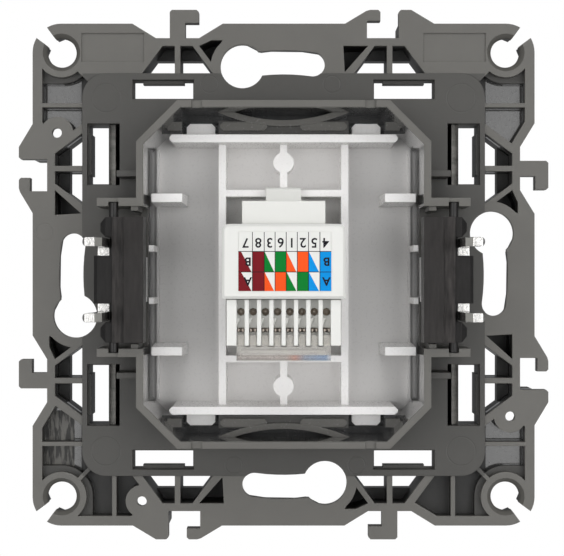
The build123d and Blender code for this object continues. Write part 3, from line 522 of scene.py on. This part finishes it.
def finish(name, colour, rough, edge=1.25, wander=0.10, bump=0.12, metal=0.0, zones=None, specular=0.5):
    """Principled material with the base colour above and a roughness of rough + swing x (height - 0.5).
    A zones group multiplies the base by its tone, lays a clear gloss where its polish says and adds its height."""
    made = bpy.data.materials.new(name)
    tree, n, links = node_tree(made)
    shader, output = n.new("ShaderNodeBsdfPrincipled"), n.new("ShaderNodeOutputMaterial")
    skin, rim = n.new("ShaderNodeGroup"), n.new("ShaderNodeGroup")
    skin.node_tree, rim.node_tree = moulded_skin, edge_light
    skin.inputs["Fine"].default_value, skin.inputs["Broad"].default_value = fine_scale, broad_scale
    rim.inputs["Radius"].default_value, rim.inputs["Gain"].default_value = edge_radius, edge_gain
    base = base_colour(tree, colour, edge, wander, skin, rim)
    spread = maths(tree, "MULTIPLY_ADD", skin.outputs["Height"], rough_swing, rough - rough_swing / 2)
    normal = bumped(tree, skin.outputs["Height"], rim.outputs["Normal"], bump, skin_relief)
    if zones:
        zone, scaled = n.new("ShaderNodeGroup"), n.new("ShaderNodeVectorMath")
        zone.node_tree = zones
        scaled.operation = "SCALE"
        links.new(base, scaled.inputs[0])
        links.new(zone.outputs["Tone"], scaled.inputs["Scale"])
        base = scaled.outputs[0]
        spread = maths(tree, "SUBTRACT", spread, product(tree, zone.outputs["Polish"], gloss_step))
        links.new(zone.outputs["Polish"], shader.inputs["Coat Weight"])
        normal = bumped(tree, zone.outputs["Height"], normal, 0.5, zone_relief)
    links.new(base, shader.inputs["Base Color"])
    links.new(spread, shader.inputs["Roughness"])
    links.new(normal, shader.inputs["Normal"])
    shader.inputs["Metallic"].default_value = metal
    shader.inputs["Specular IOR Level"].default_value = specular
    links.new(shader.outputs[0], output.inputs[0])
    return made


# %% [markdown]
# The numbers of each finish follow the photograph. The frame is a glass-filled grey and the levers are
# near black and drink the light; on both, the edges are painted lighter as a highlight. The two whites
# differ a little: the cover is warmer and glossier than the jack.

# %% Plastic and metal finishes
frame_grey = finish("frame_grey", (0.113, 0.109, 0.099), 0.44, edge=1.5, wander=0.07, zones=frame_zones)
lever_black = finish("lever_black", (0.019, 0.0165, 0.0155), 0.55, edge=1.8, wander=0.2, zones=lever_zones,
                     specular=0.28)
cover_white = finish("cover_white", (0.93, 0.917, 0.905), 0.3, edge=1.04, wander=0.012, bump=0.05,
                     zones=cover_zones)
jack_white = finish("jack_white", (0.74, 0.74, 0.71), 0.38, edge=1.03, wander=0.012, bump=0.05)
steel_bright = finish("steel_bright", (0.66, 0.65, 0.63), 0.16, edge=1.15, wander=0.08, metal=1.0)
tin = finish("tin", (0.42, 0.37, 0.32), 0.35, wander=0.15, metal=1.0)
gold = finish("gold", (0.86, 0.6, 0.25), 0.2, wander=0.06, metal=1.0)
board_green = finish("board_green", (0.02, 0.14, 0.05), 0.35, wander=0.12)
made = (frame_grey, lever_black, cover_white, jack_white, steel_bright, tin, gold, board_green)
print("finishes", [material.name for material in made])

# %% [markdown]
# ## Clear cap
# The cap over the wires is clear plastic. A transmission shader shows what lies under it, and its
# slight roughness and warm grey tint keep it from vanishing against the white. Along its lower lip the
# base colour carries a soft run of the label's colours, a painted reflection of the label above it.

# %% Clear plastic
lip_top = -10.55
lip_width = 12.3
# Painted reflection: the label's colours along the cap's lower lip.
painted_label_reflection = ((0.0, (0.70, 0.66, 0.62)), (0.53, (0.72, 0.66, 0.62)), (0.62, (0.80, 0.50, 0.42)),
             (0.72, (0.55, 0.60, 0.68)), (0.95, (0.45, 0.58, 0.78)))
clear = bpy.data.materials.new("clear_cap")
tree, n, links = node_tree(clear)
shader, output = n.new("ShaderNodeBsdfPrincipled"), n.new("ShaderNodeOutputMaterial")
shader.inputs["Transmission Weight"].default_value = 0.75
shader.inputs["IOR"].default_value = 1.49
x, y, z, wide, tall = spots(tree)
reflection_ramp, cap_with_reflection = n.new("ShaderNodeValToRGB"), n.new("ShaderNodeMix")
for position, colour in painted_label_reflection:
    reflection_ramp.color_ramp.elements.new(position).color = (*colour, 1)
links.new(maths(tree, "MULTIPLY_ADD", x, 1 / lip_width, 0.5), reflection_ramp.inputs[0])
cap_with_reflection.data_type = "RGBA"
cap_with_reflection.inputs[6].default_value = (0.90, 0.875, 0.83, 1)
links.new(within(tree, (z, None, lip_top)), cap_with_reflection.inputs[0])
links.new(reflection_ramp.outputs[0], cap_with_reflection.inputs[7])
links.new(cap_with_reflection.outputs[2], shader.inputs["Base Color"])
skin = n.new("ShaderNodeGroup")
skin.node_tree = moulded_skin
skin.inputs["Fine"].default_value = 900.0
links.new(bumped(tree, skin.outputs["Height"], None, 0.25, 0.0001), shader.inputs["Normal"])
links.new(maths(tree, "MULTIPLY_ADD", skin.outputs["Tone"], 0.1, 0.03), shader.inputs["Roughness"])
links.new(shader.outputs[0], output.inputs[0])
print("clear cap", len(n), "nodes")

# %% [markdown]
# ## Dressing the solids
# A node of the CAD model comes with a plain stand-in material. It is taken off, and the finish of the
# real piece goes on. The hidden pieces get theirs too, because other views may show them.

# %% Give each solid its finish
wear = {"support_frame": frame_grey, "centre_plate": cover_white, "jack_housing": jack_white,
        "contact_comb": lever_black, "jack_board": board_green, "idc_block": jack_white,
        "jack_rear_cover": jack_white, "wiring_label": jack_white, "wire_cap": clear}
for side in ("left", "right"):
    wear[f"{side}_claw_lever"] = lever_black
    for piece in ("plate", "screw", "nut"):
        wear[f"{side}_claw_{piece}"] = steel_bright
for number in range(1, 9):
    wear[f"spring_contact_{number}"] = gold
    wear[f"idc_contact_{number}"] = tin
for name, material in wear.items():
    mesh = nodes[name].data
    mesh.materials.clear()
    mesh.materials.append(material)
print("finishes given to", len(wear), "of", len(nodes))

# %% [markdown]
# ## Room behind the keyholes
# Each keyhole opens into a straight-sided pocket. Seen from a lens over the middle, the pocket's outer
# wall leans into view and would cut the round end. The frame's surface is rebuilt with the corners of
# that wall moved outwards: a corner within reach of its old place takes its new place, all at once.

# %% Frame with roomier keyholes
room_corners = np.array([[-2.793, 2.793], [0.0, 3.95], [2.793, 2.793]])
roomy_corners = np.array([[-2.80, 3.30], [0.0, 4.20], [2.793, 3.20]])
keyhole_turn = np.radians(11.2)
wide_end = 30.0 * np.array([-np.sin(keyhole_turn), np.cos(keyhole_turn)])
corner_reach = 0.1
skin_depth = 0.9


def roomier_frame():
    """Surface where p becomes p + (new corner - old corner) if p is behind the skin and near the old corner."""
    mesh = nodes["support_frame"].data.copy()
    flat = np.zeros(len(mesh.vertices) * 3)
    mesh.vertices.foreach_get("co", flat)
    points = flat.reshape(-1, 3)
    across, depth = points[:, [0, 2]] * 1000, points[:, 1] * 1000
    moved = 0
    for index in range(4):
        c, s = np.cos(index * np.pi / 2), np.sin(index * np.pi / 2)
        turn = np.array([[c, s], [-s, c]])
        for old, new in zip(room_corners, roomy_corners):
            away = np.linalg.norm(across - turn @ (wide_end + old), axis=1)
            near = (away < corner_reach) & (depth > skin_depth)
            points[near] += np.array([*(turn @ (new - old)), 0.0])[[0, 2, 1]] / 1000
            moved += int(near.sum())
    mesh.vertices.foreach_set("co", points.ravel())
    mesh.update()
    piece = bpy.data.objects.new("support_frame_surface", mesh)
    bpy.context.scene.collection.objects.link(piece)
    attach(piece, "socket")
    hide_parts("support_frame")
    print("keyhole corners moved", moved)


roomier_frame()

# %% [markdown]
# ## Wiring label
# The print is flat colour on a white film. An image would blur when seen close, so each patch is its
# own face a hair above the label, with its colour stored on its corners under the name *ink*. One
# material reads that colour for the fields, the lines and the characters.

# %% Printing ink
print_ink = bpy.data.materials.new("print_ink")
tree, n, links = node_tree(print_ink)
kinds = ("ShaderNodeBsdfPrincipled", "ShaderNodeOutputMaterial", "ShaderNodeAttribute")
shader, output, stored = (n.new(kind) for kind in kinds)
stored.attribute_name = "ink"
skin, blotch = n.new("ShaderNodeGroup"), n.new("ShaderNodeMix")
skin.node_tree = moulded_skin
blotch.data_type, blotch.blend_type = "RGBA", "MULTIPLY"
blotch.inputs[0].default_value = 0.25
links.new(stored.outputs["Color"], blotch.inputs[6])
links.new(skin.outputs["Tone"], blotch.inputs[7])
links.new(blotch.outputs[2], shader.inputs["Base Color"])
links.new(maths(tree, "MULTIPLY_ADD", skin.outputs["Height"], 0.2, 0.35), shader.inputs["Roughness"])
shader.inputs["Specular IOR Level"].default_value = 0.12
links.new(shader.outputs[0], output.inputs[0])


def printed(name, points, faces, colours):
    """Flat piece on the label from corners in millimetres, lying down, with one colour for each corner."""
    piece = new_piece(name, place(points), faces, "socket", print_ink)
    layer = piece.data.attributes.new("ink", "FLOAT_COLOR", "POINT")
    rgba = np.hstack([colours, np.ones((len(points), 1))])
    layer.data.foreach_set("color", rgba.astype(np.float32).ravel())
    print(name, len(piece.data.polygons), "faces")
    return piece


def printed_quads(name, corners, colours, height):
    """Flat four-cornered patches: an array of patches x 4 x (x, y), all at one height, each with its colour."""
    quads = np.asarray(corners, float).reshape(-1, 4, 2)
    points = np.dstack([quads, np.full(quads.shape[:2], height)]).reshape(-1, 3)
    return printed(name, points, np.arange(len(points)).reshape(-1, 4), np.repeat(colours, 4, axis=0))


# %% [markdown]
# The label has eight columns, one for each wire: a row of numbers and two rows of colour, one for
# each way of wiring. A plain colour fills its cell, and a striped wire is shown by a triangle on white.

# %% Colour cells
label_z = 20.1
fields_z, lines_z, letters_z = label_z + 0.012, label_z + 0.018, label_z + 0.024
columns = np.array([-5.88, -4.06, -2.53, -1.12, 0.32, 1.76, 3.21, 4.69, 6.17])
rows = np.array([5.49, 2.96, 0.30, -2.17])
ink = {"brown": (0.20, 0.008, 0.014), "green": (0.0, 0.21, 0.026),
       "orange": (0.96, 0.10, 0.012), "blue": (0.0, 0.30, 0.78)}
wires = [["brown", "brown", "green", "green", "orange", "orange", "blue", "blue"],
         ["brown", "brown", "orange", "orange", "green", "green", "blue", "blue"]]
left, right = columns[:-1], columns[1:]
stripe_gap, stripe_tip, first_tip = 0.12, 0.05, 0.35
column = np.arange(8)
striped = column % 2 == 0
low_right = np.where(striped, right - stripe_gap, right)
top_right = np.where(striped, left + np.where(column == 0, first_tip, stripe_tip), right)


def cell_row(top, bottom):
    """Eight patches: (left, bottom), (low right, bottom), (top right, top), (left, top), all columns at once."""
    across = np.stack([left, low_right, top_right, left], 1)
    upright = np.broadcast_to([bottom, bottom, top, top], (8, 4))
    return np.dstack([across, upright])


cells = np.concatenate([cell_row(rows[1], rows[2]), cell_row(rows[2], rows[3])])
cells_ink = np.array([ink[colour] for row in wires for colour in row])
printed_quads("label_colours", cells, cells_ink, fields_z)

# %% [markdown]
# Thin black lines part the columns and the rows. Each is a long patch, as wide as twice its half width
# round its middle line, and it lies a little higher than the fields so that the two never fight.

# %% Lines between the cells
black = (0.012, 0.01, 0.014)
line_half = 0.045
corner_signs = np.array([[-1, -1], [1, -1], [1, 1], [-1, 1]])


def bars(middle_x, middle_y, half_x, half_y):
    """Upright rectangles: each corner is the middle plus or minus the half sizes, all bars at once."""
    middles = np.stack(np.broadcast_arrays(middle_x, middle_y), -1)
    return middles[:, None, :] + corner_signs * np.array([half_x, half_y])


upright_bars = bars(columns[1:-1], (rows[0] + rows[3]) / 2, line_half, (rows[0] - rows[3]) / 2)
level_bars = bars((columns[0] + columns[-1]) / 2, rows[1:3], (columns[-1] - columns[0]) / 2, line_half)
lines = np.concatenate([upright_bars, level_bars])
printed_quads("label_lines", lines, np.tile(black, (len(lines), 1)), lines_z)

# %% [markdown]
# ## Contact heads
# A round hole at the head of each wire slot shows the rolled head of the contact below it. Each head is
# a shallow bowl: its height follows a parabola, lowest in the middle. One bowl is a grid of rings and
# spokes with a fan of triangles at its pole, and it is set down eight times.

# %% Contact heads
wire_count, wire_pitch = 8, 1.604
head_y, head_z = -4.92, 16.7
rings, spokes, bowl_radius, bowl_depth = 6, 24, 0.45, 0.28
around = np.arange(spokes) * 2 * np.pi / spokes
radii = bowl_radius * np.arange(1, rings + 1) / rings
rise = (radii / bowl_radius) ** 2 * bowl_depth
grid = np.stack([np.outer(radii, np.cos(around)), np.outer(radii, np.sin(around)),
                 np.repeat(rise, spokes).reshape(rings, spokes)], 2)
one_bowl = np.vstack([[[0, 0, 0]], grid.reshape(-1, 3)])
spoke = np.arange(spokes)
following = np.roll(spoke, -1)
fan = np.stack([np.zeros(spokes, int), 1 + spoke, 1 + following], 1)
ring_start = 1 + spokes * np.arange(rings - 1)[:, None]
walls = np.stack([ring_start + spoke, ring_start + spokes + spoke, ring_start + spokes + following,
                  ring_start + following], 2).reshape(-1, 4)
wire_places = (np.arange(wire_count) - (wire_count - 1) / 2) * wire_pitch
bowls = np.concatenate([one_bowl + [x, head_y, head_z] for x in wire_places])
bowl_faces = [face for k in range(wire_count) for part in (fan, walls) for face in part + k * len(one_bowl)]
heads = new_piece("contact_heads", place(bowls), bowl_faces, "socket", tin)
heads.data.shade_smooth()
print("contact heads", wire_count, "bowls,", len(bowl_faces), "faces")

# %% [markdown]
# ## Numbers and letters
# The characters are text, turned into meshes and set upside down, because the socket is read from
# below when it is wired. A text object's own turn would be lost, so half a turn is worked into its
# points: x and y are both taken away from the middle instead of added to it.


# %% Numbers and letters
def lettering(name, text, x, y, height, z, weight):
    """Points of a text and its faces: the point becomes (x, y) minus (point minus the text's middle), at height z."""
    curve = bpy.data.curves.new(name, "FONT")
    curve.body, curve.size, curve.align_x, curve.align_y = text, height, "CENTER", "CENTER"
    curve.offset = weight
    holder = bpy.data.objects.new(name + "_text", curve)
    bpy.context.scene.collection.objects.link(holder)
    bpy.context.view_layer.update()
    mesh = bpy.data.meshes.new_from_object(holder)
    flat = np.zeros(len(mesh.vertices) * 3, np.float32)
    mesh.vertices.foreach_get("co", flat)
    flat = flat.reshape(-1, 3)
    middle = (flat.max(0) + flat.min(0)) / 2
    turned = np.stack([x - (flat[:, 0] - middle[0]), y - (flat[:, 1] - middle[1]), np.full(len(flat), z)], 1)
    faces = [list(p.vertices) for p in mesh.polygons]
    bpy.data.objects.remove(holder)
    return turned, faces


def label_text(name, items, height, z, weight):
    """All the characters of one line joined into one printed mesh; each item is (text, x, y)."""
    verts, faces, count = [], [], 0
    for text, x, y in items:
        points, loops = lettering(name, text, x, y, height, z, weight)
        verts.append(points)
        faces += [[v + count for v in loop] for loop in loops]
        count += len(points)
    return printed(name, np.concatenate(verts), faces, np.tile(black, (count, 1)))


digit_size, digit_weight = 1.75, 0.025
letter_size, letter_weight = 1.5, 0.04
centres = (columns[1:] + columns[:-1]) / 2
digit_y = (rows[0] + rows[1]) / 2 - 0.15
digits = [(digit, x, digit_y) for digit, x in zip("78361254", centres)]
label_text("label_digits", digits, digit_size, lines_z, digit_weight)
letter_x = (centres[0] + 0.3, centres[-1] + 0.1)
letter_rows = (("B", (rows[1] + rows[2]) / 2), ("A", (rows[2] + rows[3]) / 2))
letters = [(letter, x, y) for letter, y in letter_rows for x in letter_x]
label_text("label_letters", letters, letter_size, letters_z, letter_weight)
